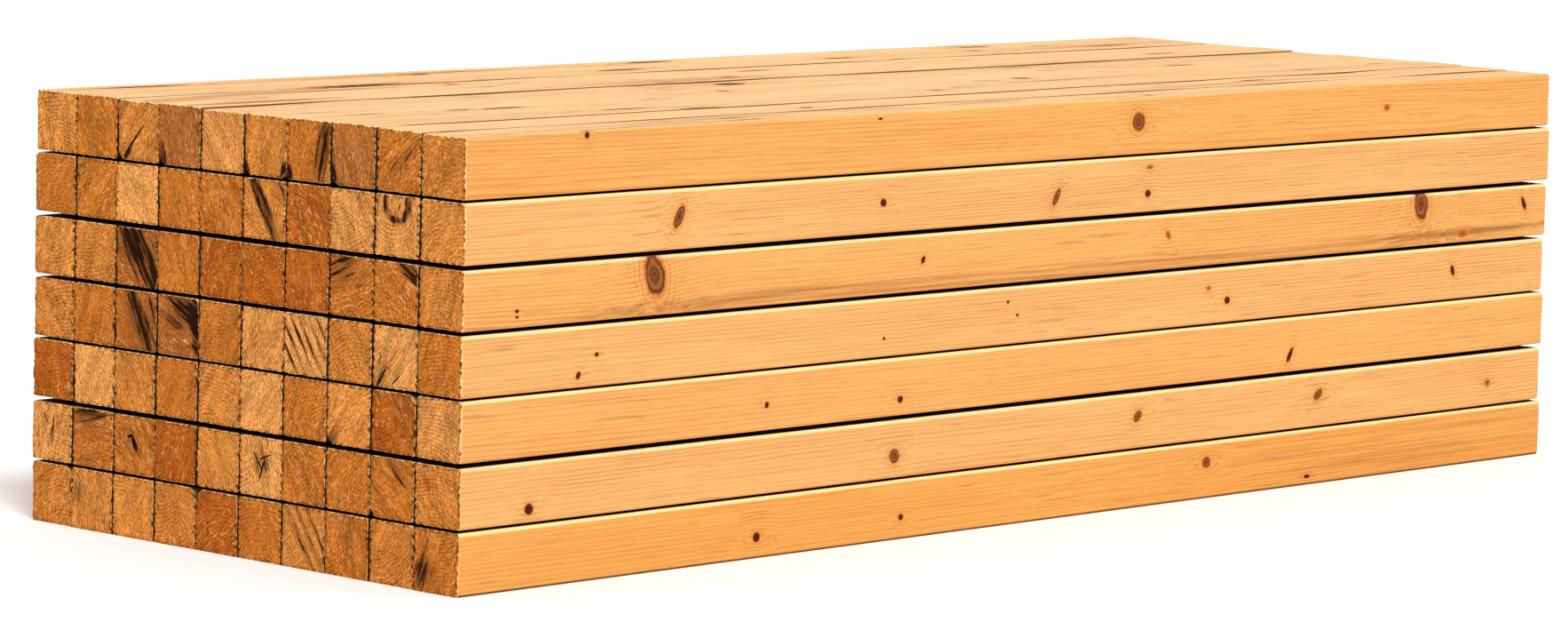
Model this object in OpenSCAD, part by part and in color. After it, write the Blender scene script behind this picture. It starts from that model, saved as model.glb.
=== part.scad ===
// A stack of square sawn timber: layers of equal sticks laid side by side, all running along X.
// The origin is at the middle of the footprint, on the ground. +X runs along the sticks, +Y across
// the stack and +Z up. Layer 1 is the lowest, and column 1 is the one at the -Y side.

/* [Stick] */
// Width of one stick, across the stack
stick_w = 89; // [50:1:140]
// Height of one stick
stick_h = 89; // [50:1:140]
// Length of the longest stick
stick_l = 2438; // [1200:1:4880]
// Radius of the eased long edges
edge_r = 4; // [1:0.5:8]

/* [Stack] */
// Sticks side by side in one layer
columns = 10; // [2:1:14]
// Layers, one on another
layers = 7; // [1:1:12]
// Free space between two sticks of one layer
side_gap = 0.6; // [0.2:0.1:0.9]
// Free space between two layers
layer_gap = 0.4; // [0.1:0.1:0.9]

/* [Ends] */
// How far the worst stick stays back from the trimmed end, at -X
trim_play = 2; // [0:0.5:10]
// How far the shortest stick falls short of the other end, at +X
length_play = 8; // [0:1:40]

/* [Wane] */
// Radius of the log that the sticks were sawn from
log_r = 80; // [76:1:140]
// Depth of wood missing on the diagonal of a corner with wane
wane_depth = 8; // [2:0.5:10]

/* [Hidden] */
FIRST = 1;
PITCH_Y = stick_w + side_gap;
PITCH_Z = stick_h + layer_gap;
ARC_FN = 96;

// The corners that show the round outside of the log: [layer, column, side in Y, side in Z]
WANE = [
    [1, 6, 1, 1], [1, 7, -1, 1], [1, 10, -1, 1],
    [2, 2, 1, -1],
    [3, 2, -1, 1], [3, 3, 1, -1],
    [7, 3, 1, -1], [7, 5, -1, -1], [7, 5, 1, -1], [7, 7, 1, -1], [7, 8, 1, -1]
];

// Tints of fresh softwood, one for each layer in turn
TINTS = ["#e2a35c", "#e8ae68", "#dd9c56", "#e5a961"];

// The ends are uneven by a rule: each stick takes the next of PLAY_STEPS even steps, by strides
PLAY_STEPS = 11;
TRIM_STRIDE = 7;
LENGTH_STRIDE = 4;

function layer_name(layer) = str("layer_", layer);
function stick_number(layer, column) = (layer - FIRST) * columns + column - FIRST;
function share(number, stride) = (number * stride) % PLAY_STEPS / (PLAY_STEPS - 1);
function near_end(number) = -stick_l / 2 + trim_play * share(number, TRIM_STRIDE);
function far_end(number) = stick_l / 2 - length_play * share(number, LENGTH_STRIDE);
function middle_y(column) = (column - FIRST - (columns - 1) / 2) * PITCH_Y;
function middle_z(layer) = stick_h / 2 + (layer - FIRST) * PITCH_Z;
function waned_corners(layer, column) =
    [for (w = WANE) if (w[0] == layer && w[1] == column) [w[2], w[3]]];

// The sawn section, with its four edges eased
module squared_section() {
    square([stick_w, stick_h - 2 * edge_r], center = true);
    square([stick_w - 2 * edge_r, stick_h], center = true);
    for (y = [-1, 1])
        for (z = [-1, 1])
            translate([y * (stick_w / 2 - edge_r), z * (stick_h / 2 - edge_r)])
                circle(r = edge_r, $fn = ARC_FN);
}

// What lies outside the log at one corner: the log's middle is off the stick's, away from that corner
module wane(corner) {
    half_diagonal = norm([stick_w, stick_h]) / 2;
    off_middle = log_r + wane_depth - half_diagonal;
    direction = [corner[0] * stick_w / 2, corner[1] * stick_h / 2] / half_diagonal;
    difference() {
        translate(direction * half_diagonal)
            square(6 * wane_depth, center = true);
        translate(-direction * off_middle)
            circle(r = log_r, $fn = ARC_FN);
    }
}

module stick(layer, column) {
    number = stick_number(layer, column);
    start = near_end(number);
    translate([start, middle_y(column), middle_z(layer)])
        rotate([90, 0, 90])
            linear_extrude(height = far_end(number) - start)
                difference() {
                    squared_section();
                    for (corner = waned_corners(layer, column))
                        wane(corner);
                }
}

module layer_of_sticks(layer) {
    color(TINTS[layer % len(TINTS)])
        for (column = [FIRST : columns])
            stick(layer, column);
}

for (layer = [FIRST : layers])
    layer_of_sticks(layer);
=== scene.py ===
"""A stack of square sawn softwood sticks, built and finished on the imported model's frame.

Seventy sticks lie in seven layers of ten. Each stick is one closed surface: a fine grid over each
sawn end, joined by rings of points along the stick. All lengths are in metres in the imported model's
own frame, with +X along the sticks, +Y across the stack and +Z up.
"""

import logging  # noqa: E402
import math  # noqa: E402
from dataclasses import dataclass, field  # noqa: E402
from enum import Enum  # noqa: E402
from functools import partial  # noqa: E402
from typing import Any  # noqa: E402

import bpy  # noqa: E402
import numpy as np  # noqa: E402
from bpy.types import NodeSocket  # noqa: E402
from mathutils import Matrix, Vector  # noqa: E402

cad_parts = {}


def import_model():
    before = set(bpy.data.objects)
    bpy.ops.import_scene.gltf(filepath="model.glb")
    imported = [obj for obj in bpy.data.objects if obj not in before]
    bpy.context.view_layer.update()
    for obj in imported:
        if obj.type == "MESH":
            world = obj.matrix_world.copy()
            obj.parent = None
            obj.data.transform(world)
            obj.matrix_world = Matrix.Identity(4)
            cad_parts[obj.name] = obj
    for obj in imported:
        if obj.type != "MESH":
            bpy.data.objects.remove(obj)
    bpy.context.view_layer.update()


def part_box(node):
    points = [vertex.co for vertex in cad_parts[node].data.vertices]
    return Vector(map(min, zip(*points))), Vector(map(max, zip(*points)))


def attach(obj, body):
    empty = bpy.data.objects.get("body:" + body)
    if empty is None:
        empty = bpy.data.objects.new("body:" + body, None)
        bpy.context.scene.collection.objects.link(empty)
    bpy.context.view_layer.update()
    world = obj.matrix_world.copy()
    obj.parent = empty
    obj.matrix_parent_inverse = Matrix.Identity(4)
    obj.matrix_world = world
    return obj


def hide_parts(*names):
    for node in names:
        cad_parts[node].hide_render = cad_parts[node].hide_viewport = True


MM = 0.001
log = logging.getLogger("lumber")


# ----------------------------------------------------------------------------------- small helpers


def linear(code: str) -> tuple[float, float, float, float]:
    """Turn an sRGB hex colour into linear light.

    Args:
        code: The colour, such as "#e7ab64".

    Returns:
        Red, green, blue and an alpha of 1.
    """
    parts = [int(code[i : i + 2], 16) / 255 for i in (1, 3, 5)]
    red, green, blue = (c / 12.92 if c <= 0.04045 else ((c + 0.055) / 1.055) ** 2.4 for c in parts)
    return (red, green, blue, 1.0)


def smooth(x: np.ndarray, low: float, high: float) -> np.ndarray:
    """Rise smoothly from 0 at low to 1 at high: 3t squared less 2t cubed, t being the share of the way.

    Args:
        x: Where to read the step.
        low: Where it leaves 0.
        high: Where it reaches 1, which may be below low.

    Returns:
        The height of the step at each x.
    """
    t = np.clip((x - low) / (high - low), 0.0, 1.0)
    return t * t * (3.0 - 2.0 * t)


def ripple(places: np.ndarray, wave: float, seed: int, waves: int = 9) -> np.ndarray:
    """Make smooth unevenness between about -1 and 1: the mean of a few plane waves that run random ways.

    Args:
        places: Points, one row each.
        wave: The typical distance from one crest to the next.
        seed: Which unevenness to make.
        waves: How many waves are added.

    Returns:
        One number for each point.
    """
    chance = np.random.default_rng(seed)
    ways = chance.normal(size=(waves, places.shape[1]))
    ways /= np.linalg.norm(ways, axis=1, keepdims=True)
    turns = 2 * math.pi / (wave * chance.uniform(0.6, 1.7, waves))
    phases = chance.uniform(0, 2 * math.pi, waves)
    return np.sin(places @ (ways * turns[:, None]).T + phases).mean(axis=1) * 1.6


MODES = {
    "Math": "operation",
    "VectorMath": "operation",
    "Mix": "data_type",
    "MapRange": "interpolation_type",
}


def add_node(
    tree: bpy.types.NodeTree,
    kind: str,
    links: dict[Any, Any] | None = None,
    mode: str = "",
    out: str = "",
    **settings: Any,
) -> NodeSocket | None:
    """Add one shader node.

    Args:
        tree: The node tree of a material or of the world.
        kind: The node's type name, less "ShaderNode".
        links: For each input, by name or number, a socket to link, or a value or a hex colour to set.
        mode: The kind's main choice, such as what a Math node does.
        out: The output to hand back, where that isn't the first one in use.
        **settings: The node's other settings.

    Returns:
        That output, from which the node itself can be reached; None for a node without outputs.
    """
    made = tree.nodes.new("ShaderNode" + kind)
    if mode:
        setattr(made, MODES[kind], mode)
    for name, value in settings.items():
        setattr(made, name, value)
    for name, value in (links or {}).items():
        if isinstance(value, NodeSocket):
            tree.links.new(value, made.inputs[name])
        else:
            made.inputs[name].default_value = linear(value) if isinstance(value, str) else value
    return made.outputs[out] if out else next((socket for socket in made.outputs if socket.enabled), None)


# ----------------------------------------------------------------------------------- what there is


class Face(Enum):
    """The six sides of a stick."""

    NEAR_END = 0
    FAR_END = 1
    FRONT = 2
    BACK = 3
    TOP = 4
    BOTTOM = 5


class EndTone(Enum):
    """The colour of a sawn end, from pale fresh wood to dark heartwood."""

    PALE = ("P", "#eda156")
    LIGHT = ("L", "#df944b")
    GOLDEN = ("G", "#da8b3e")
    MIDDLE = ("M", "#d18136")
    BROWN = ("B", "#c77429")
    REDDISH = ("R", "#b7601b")
    DARK = ("D", "#b46829")
    GREYED = ("K", "#b96d30")

    @classmethod
    def of(cls, letter: str) -> "EndTone":
        """Return the tone with this letter."""
        return next(tone for tone in cls if tone.value[0] == letter)


class SideTone(Enum):
    """The colour of a long side."""

    PALE = "#e8b06e"
    MIDDLE = "#e8ab64"
    HONEY = "#e7a85e"
    # Painted light: the top of the stack is paler for the light that falls on it from above
    LIT_TOP = "#f2c893"
    ORANGE = "#e4a355"


class MarkKind(Enum):
    """What a mark on the wood is, as the number that the finish reads."""

    TIGHT_KNOT = 0.15
    BROWN_KNOT = 0.55
    DARK_KNOT = 1.0
    SPLIT = 2.0


@dataclass(frozen=True)
class Mark:
    """A knot, a pin hole or a split, as an ellipse on one face of a stick.

    All its lengths are in millimetres, and its lean in degrees. On a long side, along counts from the
    stick's near end and up from its middle line. On an end, along and up are the distances to the right
    of the middle and above it, for someone who looks at that end.
    """

    face: Face
    kind: MarkKind
    along: float
    up: float
    long_radius: float
    short_radius: float
    lean: float = 0.0

    def coordinates(self, s: np.ndarray, t: np.ndarray) -> np.ndarray:
        """Measure points in the ellipse's own axes: shift, turn by the lean and divide by the radii.

        Args:
            s: Distances along the face.
            t: Distances up the face.

        Returns:
            Two columns, which are 1 apart where the ellipse's rim crosses its axes.
        """
        ds, dt = s - self.along * MM, t - self.up * MM
        c, n = math.cos(math.radians(self.lean)), math.sin(math.radians(self.lean))
        first = (ds * c + dt * n) / (self.long_radius * MM)
        second = (dt * c - ds * n) / (self.short_radius * MM)
        return np.stack([first, second], axis=-1)


@dataclass(frozen=True)
class Stain:
    """A dark patch in the wood of one face: a band or a blot with soft borders, broken up by the grain.

    It is placed as a mark is.
    """

    face: Face
    along: float
    up: float
    long_radius: float
    short_radius: float
    lean: float
    depth: float

    def amount(self, s: np.ndarray, t: np.ndarray) -> np.ndarray:
        """Work out how dark the patch is at points: its depth times a bell of the distance in radii.

        Args:
            s: Distances along the face.
            t: Distances up the face.

        Returns:
            One number for each point, from 0 to the depth.
        """
        radii = (self.long_radius, self.short_radius)
        shape = Mark(self.face, MarkKind.SPLIT, self.along, self.up, *radii, self.lean)
        return self.depth * np.exp(-((shape.coordinates(s, t) ** 2).sum(axis=-1) ** 1.5))


@dataclass(frozen=True)
class StackPlan:
    """Where each stick of the stack lies, and the free space that shows around it."""

    columns: int = 10
    layers: int = 7
    stick: float = 89 * MM
    length: float = 2438 * MM
    side_gap: float = 0.6 * MM
    trim_play: float = 2 * MM
    length_play: float = 8 * MM
    # The gap in mm that shows above each layer, from the lowest up: dried borders are a little hollow
    open_above: tuple[float, ...] = (3.0, 5.8, 3.0, 4.8, 6.0, 2.8, 0.0)
    # How many mm each column's top stick has shrunk, from the near long side: the steps show as seams
    shrunk: tuple[float, ...] = (3.6, 2.2, 0.2, 0.9, 1.6, 3.0, 0.2, 1.9, 0.1, 0.9)
    # Corners where the log's round outside shows: layer, column, side in Y, side in Z
    wane: tuple[tuple[int, int, int, int], ...] = (
        (1, 6, 1, 1), (1, 7, -1, 1), (1, 10, -1, 1), (2, 2, 1, -1), (3, 2, -1, 1), (3, 3, 1, -1),
        (7, 3, 1, -1), (7, 5, -1, -1), (7, 5, 1, -1), (7, 7, 1, -1), (7, 8, 1, -1),
    )  # fmt: skip

    def node(self, layer: int) -> str:
        """Return the name of a layer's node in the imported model."""
        return f"layer_{layer}"

    def middle(self, layer: int, column: int) -> tuple[float, float]:
        """Return the Y and Z of a stick's middle line."""
        low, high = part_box(self.node(layer))
        pitch = self.stick + self.side_gap
        return (column - (self.columns + 1) / 2) * pitch, (low[2] + high[2]) / 2

    def ends(self, layer: int, column: int) -> tuple[float, float]:
        """Return the X of a stick's two ends, which are uneven by eleven even steps, taken by strides."""
        number = (layer - 1) * self.columns + column - 1
        near, far = (number * stride % 11 / 10 for stride in (7, 4))
        return -self.length / 2 + self.trim_play * near, self.length / 2 - self.length_play * far

    def waned(self, layer: int, column: int) -> list[tuple[int, int]]:
        """Return the sides in Y and Z of a stick's corners with wane."""
        return [w[2:] for w in self.wane if w[:2] == (layer, column)]


@dataclass(frozen=True)
class Section:
    """The sawn section of a stick: a square with eased edges, cut by the log's circle where it has wane."""

    half: float = 44.5 * MM
    eased: float = 4.6 * MM
    log_r: float = 80 * MM
    wane_depth: float = 8 * MM
    squeezed: float = 7 * MM  # how much of each ray is shortened at a waned corner
    waned: tuple[tuple[int, int], ...] = ()

    @property
    def pith_off(self) -> float:
        """Return how far the log's middle lies from the section's, in Y and in Z, if a corner has wane."""
        return (self.log_r + self.wane_depth - self.half * math.sqrt(2)) / math.sqrt(2)

    def place(self, a: np.ndarray, b: np.ndarray) -> tuple[np.ndarray, np.ndarray]:
        """Carry the square from -1 to 1 onto the section.

        At a waned corner, the outer part of each ray from the log's middle is shortened until the ray ends
        on the log's circle. At each corner, the last square is squeezed into a quarter of a disc.

        Args:
            a: Share of the way across, from -1 to 1.
            b: Share of the way up, from -1 to 1.

        Returns:
            Y and Z from the section's middle.
        """
        y, z = a * self.half, b * self.half
        inner = self.log_r - self.squeezed
        for sy, sz in self.waned:
            vy, vz = y * sy + self.pith_off, z * sz + self.pith_off
            reach, side = np.hypot(vy, vz), self.half + self.pith_off
            rim = np.minimum(
                *(np.where(v > 0, side * reach / np.maximum(v, 1e-9), np.inf) for v in (vy, vz))
            )
            cut = (rim > self.log_r) & (reach > inner)
            short = np.where(cut, inner + (reach - inner) * (self.log_r - inner) / (rim - inner), reach)
            grow = short / np.maximum(reach, 1e-9)
            y, z = (vy * grow - self.pith_off) * sy, (vz * grow - self.pith_off) * sz
        core = self.half - self.eased
        cy, cz = np.clip(y, -core, core), np.clip(z, -core, core)
        dy, dz = y - cy, z - cz
        flat, true = np.maximum(np.abs(dy), np.abs(dz)), np.hypot(dy, dz)
        grow = np.where(true > 0, flat / np.maximum(true, 1e-12), 1.0)
        return cy + dy * grow, cz + dz * grow


class Grain:
    """The points and faces of a stick, before it gets its place and its shape.

    Attributes:
        a: Share across the section for each point, from -1 to 1.
        b: Share up the section for each point, from -1 to 1.
        w: Share of the way from the near end to the far end for each point.
        off: Distance that each point lies from w's place, along the stick.
        row: For each point, how far from the sawn rim it is, counted in rings; 0 is the rim.
        cap: -1 on the near end's grid, 1 on the far end's, 0 between them.
        quads: Faces with four points.
        triangles: Faces with three points.
        group: For each face, quads first: 0 near end, 1 body, 2 far end.
    """

    cells = 36
    picked = (0, 1, 2, 3, 4, 8, 13, 18, 23, 28, 32, 33, 34, 35)
    fine_rings = (1.6 * MM, 4.5 * MM, 10 * MM)
    coarse_rings = (22 * MM, 40 * MM, 64 * MM)

    def __init__(self, stations: int) -> None:
        """Lay out one stick.

        Args:
            stations: How many rings the body has between the two ends' own rings.
        """
        n = self.cells
        u = np.linspace(-1, 1, n + 1)
        t = 0.78 * u + 0.22 * np.sin(u * math.pi / 2)  # closer together near the torn rim
        ga, gb = (g.ravel() for g in np.meshgrid(t, t, indexing="ij"))
        index = np.arange((n + 1) ** 2).reshape(n + 1, n + 1)
        rim = np.concatenate([index[:-1, 0], index[-1, :-1], index[:0:-1, -1], index[0, :0:-1]])
        depth = np.minimum.reduce([np.minimum(i, n - i) for i in np.indices((n + 1, n + 1))]).ravel()
        picked = np.concatenate([np.array(self.picked) + n * side for side in range(4)])
        fa, fb = ga[rim], gb[rim]
        ca, cb = fa[picked], fb[picked]

        blocks = [(ga, gb, 0.0, 0.0, depth, -1)]
        blocks += [(fa, fb, 0.0, off, k + 1, 0) for k, off in enumerate(self.fine_rings)]
        blocks += [(ca, cb, 0.0, off, 9, 0) for off in self.coarse_rings]
        blocks += [(ca, cb, w, 0.0, 9, 0) for w in np.linspace(0.035, 0.965, stations)]
        blocks += [(ca, cb, 1.0, -off, 9, 0) for off in self.coarse_rings[::-1]]
        last = len(self.fine_rings)
        blocks += [(fa, fb, 1.0, -off, last - k, 0) for k, off in enumerate(self.fine_rings[::-1])]
        blocks += [(ga, gb, 1.0, 0.0, depth, 1)]
        sizes = [len(block[0]) for block in blocks]
        starts = np.concatenate([[0], np.cumsum(sizes)])
        self.a, self.b = (np.concatenate([block[i] for block in blocks]) for i in (0, 1))
        self.w, self.off, self.row, self.cap = (
            np.concatenate([np.broadcast_to(block[i], len(block[0])) for block in blocks]).astype(float)
            for i in (2, 3, 4, 5)
        )

        grid = np.stack([index[:-1, :-1], index[:-1, 1:], index[1:, 1:], index[1:, :-1]], axis=-1)
        grid = grid.reshape(-1, 4)
        rings = [starts[i] + np.arange(sizes[i]) for i in range(1, len(blocks) - 1)]
        rings = [rim, *rings, starts[-2] + rim]
        body: list[np.ndarray] = []
        corners: list[np.ndarray] = []
        for one, two in zip(rings[:-1], rings[1:]):
            if len(one) == len(two):
                body.append(np.stack([one, np.roll(one, -1), np.roll(two, -1), two], axis=-1))
            elif len(one) > len(two):
                corners.append(self.stitch(one, two, picked, False))
            else:
                corners.append(self.stitch(two, one, picked, True))
        self.quads = np.concatenate([grid, grid[:, ::-1] + starts[-2], *body])
        self.triangles = np.concatenate(corners)
        self.group = np.ones(len(self.quads) + len(self.triangles), int)
        self.group[: len(grid)], self.group[len(grid) : 2 * len(grid)] = 0, 2

    @staticmethod
    def stitch(fine: np.ndarray, coarse: np.ndarray, picked: np.ndarray, turned: bool) -> np.ndarray:
        """Join a ring of many points to a ring of the picked ones among them.

        Each step of the fine ring makes a triangle with the nearer end of its coarse step, and each coarse
        step makes one with the fine point where that end changes.

        Args:
            fine: The fine ring's point numbers.
            coarse: The coarse ring's point numbers.
            picked: Which fine places the coarse ring keeps.
            turned: True where the fine ring comes after the coarse one along the stick.

        Returns:
            Triangles, facing outwards.
        """
        many, few = len(fine), len(coarse)
        stop = np.concatenate([picked[1:], [many]])
        steps = np.arange(many)
        span = np.searchsorted(picked, steps, side="right") - 1
        change = (picked + stop + 1) // 2
        nearer = np.where(steps < change[span], span, (span + 1) % few)
        fans = np.stack([fine[steps], fine[(steps + 1) % many], coarse[nearer]], axis=-1)
        bases = np.stack([coarse, fine[change % many], np.roll(coarse, -1)], axis=-1)
        faces = np.concatenate([fans, bases])
        return faces[:, ::-1] if turned else faces


# -------------------------------------------------------------------------------------- the finish


@dataclass(frozen=True)
class SawnSoftwood:
    """Rough-sawn softwood (pine or spruce), cross-cut with a coarse saw.

    Growth rings show as orange lines along the sides and as bands on the ends. Torn fibres make the ends
    rough and browner, flecked with painted highlight and painted shade. Knots are darker, harder and a
    little glossier than the wood around them.
    """

    name: str = "rough_sawn_softwood"
    ring: float = 5.5 * MM  # one year's growth of a fast-grown softwood
    wander: float = 22 * MM  # how far the rings stray from true circles
    fibre: float = 2.4 * MM  # a bundle of fibres, drawn coarser than a real one so that it shows
    fleck: float = 3.5 * MM  # a torn tuft on the sawn end, coarser than a real one for the same reason
    grit: float = 2.7 * MM  # single broken fibres, coarser than real ones too
    bow: float = 16 * MM  # how long the saw's strokes run straight
    knot_bumps: float = 16 * MM  # how far apart the bumps of a knot's outline are
    relief: float = 0.5 * MM
    end_relief: float = 6.0  # how many times rougher the ends are than the sides
    roughness: float = 0.8
    knot_roughness: float = 0.55
    specular: float = 0.03  # dry open fibre hardly shines
    late_side: str = "#c06a2c"
    late_end: str = "#6b3712"
    # Painted highlight on the torn tufts of the ends, painted shade in the pits beside them, and cream for
    # pale torn fibre with its painted highlight
    tuft_highlight: str = "#efb877"
    cream: str = "#ffdc9c"
    pit_shade: str = "#6e3410"
    knot_red: str = "#b35c24"
    knot_brown: str = "#8d4e27"
    knot_dark: str = "#4e1f0a"
    bark: str = "#2b1106"
    halo: str = "#dd7d2c"
    stain_side: str = "#9a5a2c"
    stain_mid: str = "#7a4520"
    stain_end: str = "#220e04"
    split: str = "#140802"
    resin: str = "#b8571c"
    # Painted shade for the joints and the rim's pits, which also serves as the wane's dark bark
    shade_and_bark_colour: str = "#241004"

    def make(self) -> bpy.types.Material:
        """Build the finish's nodes.

        Returns:
            The material.
        """
        material = bpy.data.materials.new(self.name)
        material.use_nodes = True
        tree = material.node_tree
        tree.nodes.clear()
        add = partial(add_node, tree)

        def noise(
            place: NodeSocket, cells: tuple[float, ...], detail: float, rough: float = 0.5
        ) -> NodeSocket:
            """Add noise that is drawn out along the wood or the saw's stroke.

            Args:
                place: Where the pattern is read.
                cells: How many of its cells there are in a metre, along each axis.
                detail: How many finer layers it has.
                rough: How strong those are.

            Returns:
                The noise.
            """
            drawn_out = add("VectorMath", {0: place, 1: cells}, "MULTIPLY")
            pattern = {"Vector": drawn_out, "Scale": 1.0, "Detail": detail, "Roughness": rough}
            return add("TexNoise", pattern)

        wood, saw, knot = (
            add("Attribute", out="Vector", attribute_name=name)
            for name in ("log_place", "saw_place", "knot_place")
        )
        # The joint's value is painted shade with the wane's dark bark; the torn rim's value carries a
        # painted highlight
        end, stain, torn, dry, shade_and_bark_share, size = (
            add("Attribute", out="Fac", attribute_name=name)
            for name in ("end_grain", "stain", "torn_rim_and_highlight", "weather", "joint", "knot_radius")
        )
        tint = add("Attribute", out="Color", attribute_name="tint")

        # The knot's own distance, in radii, made uneven so that no knot is a true ellipse
        across, up_it, kind = add("SeparateXYZ", {0: knot}).node.outputs
        uneven = add("TexNoise", {"Vector": wood, "Scale": 1 / self.knot_bumps, "Detail": 2.0})
        flat = add("CombineXYZ", {0: across, 1: up_it})
        far = add("VectorMath", {0: flat}, "LENGTH")
        rho = add("Math", {0: uneven, 1: 0.64, 2: -0.32}, "MULTIPLY_ADD")
        rho = add("Math", {0: far, 1: rho}, "ADD")
        is_knot = add("Math", {0: kind, 1: 1.5}, "LESS_THAN")
        is_split = add("Math", {0: 1.0, 1: is_knot}, "SUBTRACT")
        core = add("MapRange", {"Value": rho, 1: 1.1, 2: 0.84}, "SMOOTHSTEP")

        # The grain bends round a knot as water round a post: a shift that falls off with the distance
        below = add("Math", {0: across, 1: 0.42}, "MULTIPLY")
        below = add("Math", {0: below, 1: below}, "MULTIPLY")
        below = add("Math", {0: up_it, 1: up_it, 2: below}, "MULTIPLY_ADD")
        below = add("Math", {0: below, 1: 0.5}, "ADD")
        fade = add("MapRange", {"Value": rho, 1: 10.0, 2: 4.0}, "SMOOTHSTEP")
        shift = add("Math", {0: up_it, 1: below}, "DIVIDE")
        for factor in (size, -1.6, is_knot, fade):
            shift = add("Math", {0: shift, 1: factor}, "MULTIPLY")
        bend = add("CombineXYZ", {0: 0.0, 1: shift, 2: shift})
        bent = add("VectorMath", {0: wood, 1: bend}, "ADD")

        # Growth rings: the distance from the pith over the width of one ring, with a slow wander
        wander = noise(bent, (1.1, 14.0, 14.0), 3.0, 0.55)
        ringed = add("VectorMath", {0: bent, 1: (0.0, 1.0, 1.0)}, "MULTIPLY")
        year = add("VectorMath", {0: ringed}, "LENGTH")
        year = add("Math", {0: wander, 1: self.wander, 2: year}, "MULTIPLY_ADD")
        year = add("Math", {0: year, 1: self.ring}, "DIVIDE")
        year = add("Math", {0: year}, "FRACT")
        late = add("ValToRGB", {0: year})
        stops = late.node.color_ramp.elements
        stops[0].color = stops[1].color = (0.0, 0.0, 0.0, 1.0)
        for place, grey in ((0.45, 0.08), (0.78, 0.6), (0.9, 1.0)):
            stops.new(place).color = (grey, grey, grey, 1.0)

        # Long sides: fine fibres, short resin dashes, and broad warm clouds, where the rings are stronger
        fibres = noise(bent, (5.0, 1 / self.fibre, 1 / self.fibre), 4.0, 0.65)
        clouds = noise(bent, (1.4, 20.0, 20.0), 4.0, 0.6)
        strong = add("MapRange", {"Value": clouds, 1: 0.36, 2: 0.66, 3: 0.14, 4: 0.56})
        drawn = add("MapRange", {"Value": rho, 1: 5.5, 2: 1.4, 3: 0.0, 4: 0.34}, "SMOOTHSTEP")
        drawn = add("Math", {0: drawn, 1: is_knot, 2: strong}, "MULTIPLY_ADD")
        lines = add("Math", {0: late, 1: drawn}, "MULTIPLY")
        warm = add("MapRange", {"Value": clouds, 1: 0.3, 2: 0.75, 3: 0.0, 4: 0.16})
        light = add("MapRange", {"Value": fibres, 1: 0.3, 2: 0.7, 3: 0.85, 4: 1.105})
        dash = noise(bent, (13.0, 360.0, 360.0), 1.5)
        dash = add("MapRange", {"Value": dash, 1: 0.62, 2: 0.74, 3: 0.0, 4: 0.26})

        # Drying checks: thin dark slits along the grain, mostly where the face is bare to the air
        rare = add("TexNoise", {"Vector": wood, "Scale": 6.0, "Detail": 1.0})
        slit = noise(bent, (7.0, 230.0, 230.0), 2.0, 0.4)
        slit = add("Math", {0: rare, 1: 0.35, 2: slit}, "MULTIPLY_ADD")
        slit = add("MapRange", {"Value": slit, 1: 0.875, 2: 0.93})
        slit = add("Math", {0: slit, 1: dry}, "MULTIPLY")

        # Brown stain in streaks along the grain
        wets = add("MapRange", {"Value": stain, 1: 0.02, 2: 0.3})
        soak = noise(bent, (3.0, 190.0, 190.0), 4.0, 0.65)
        soak = add("Math", {0: stain, 1: 0.8, 2: soak}, "MULTIPLY_ADD")
        soak = add("MapRange", {"Value": soak, 1: 0.66, 2: 1.05, 3: 0.0, 4: 0.8})
        soak = add("Math", {0: soak, 1: wets}, "MULTIPLY")

        # A painted highlight on the lit top edge of a long side, and pale torn fibre near its ends
        torn_fibre_and_highlight = add("Math", {0: torn, 1: fibres}, "MULTIPLY")
        torn_fibre_and_highlight = add("MapRange", {"Value": torn_fibre_and_highlight, 1: 0.12, 2: 0.45, 3: 0.0, 4: 0.95})

        side = tint
        for share, coat in ((lines, self.late_side), (warm, self.halo)):
            side = add("Mix", {0: share, 6: side, 7: coat}, "RGBA")
        side = add("VectorMath", {0: side, "Scale": light}, "SCALE")
        coats = (dash, self.resin), (slit, self.knot_dark), (soak, self.stain_side), (torn_fibre_and_highlight, self.cream)
        for share, coat in coats:
            side = add("Mix", {0: share, 6: side, 7: coat}, "RGBA")

        # Sawn ends: year bands under clouds and broken fibres that are redder where they are dark
        patch = add("TexNoise", {"Vector": wood, "Scale": 30.0, "Detail": 3.0, "Roughness": 0.6})
        band = add("MapRange", {"Value": patch, 1: 0.38, 2: 0.62, 3: 0.12, 4: 0.7})
        band = add("Math", {0: late, 1: band}, "MULTIPLY")
        cloud = noise(saw, (12.0, 55.0, 1.0), 3.0, 0.6)
        cloud = add("MapRange", {"Value": cloud, 1: 0.3, 2: 0.7, 3: 0.7, 4: 1.26})
        grit = noise(saw, (1 / (1.9 * self.grit), 1 / self.grit, 1.0), 1.5, 0.6)
        crisp = add("MapRange", {"Value": grit, 1: 0.34, 2: 0.66})
        crisp = add("Mix", {0: crisp, 4: (0.78, 0.6, 0.4), 5: (1.22, 1.4, 1.6)}, "VECTOR")
        sawn = add("Mix", {0: band, 6: tint, 7: self.late_end}, "RGBA")
        sawn = add("VectorMath", {0: sawn, "Scale": cloud}, "SCALE")
        sawn = add("VectorMath", {0: sawn, 1: crisp}, "MULTIPLY")

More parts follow.
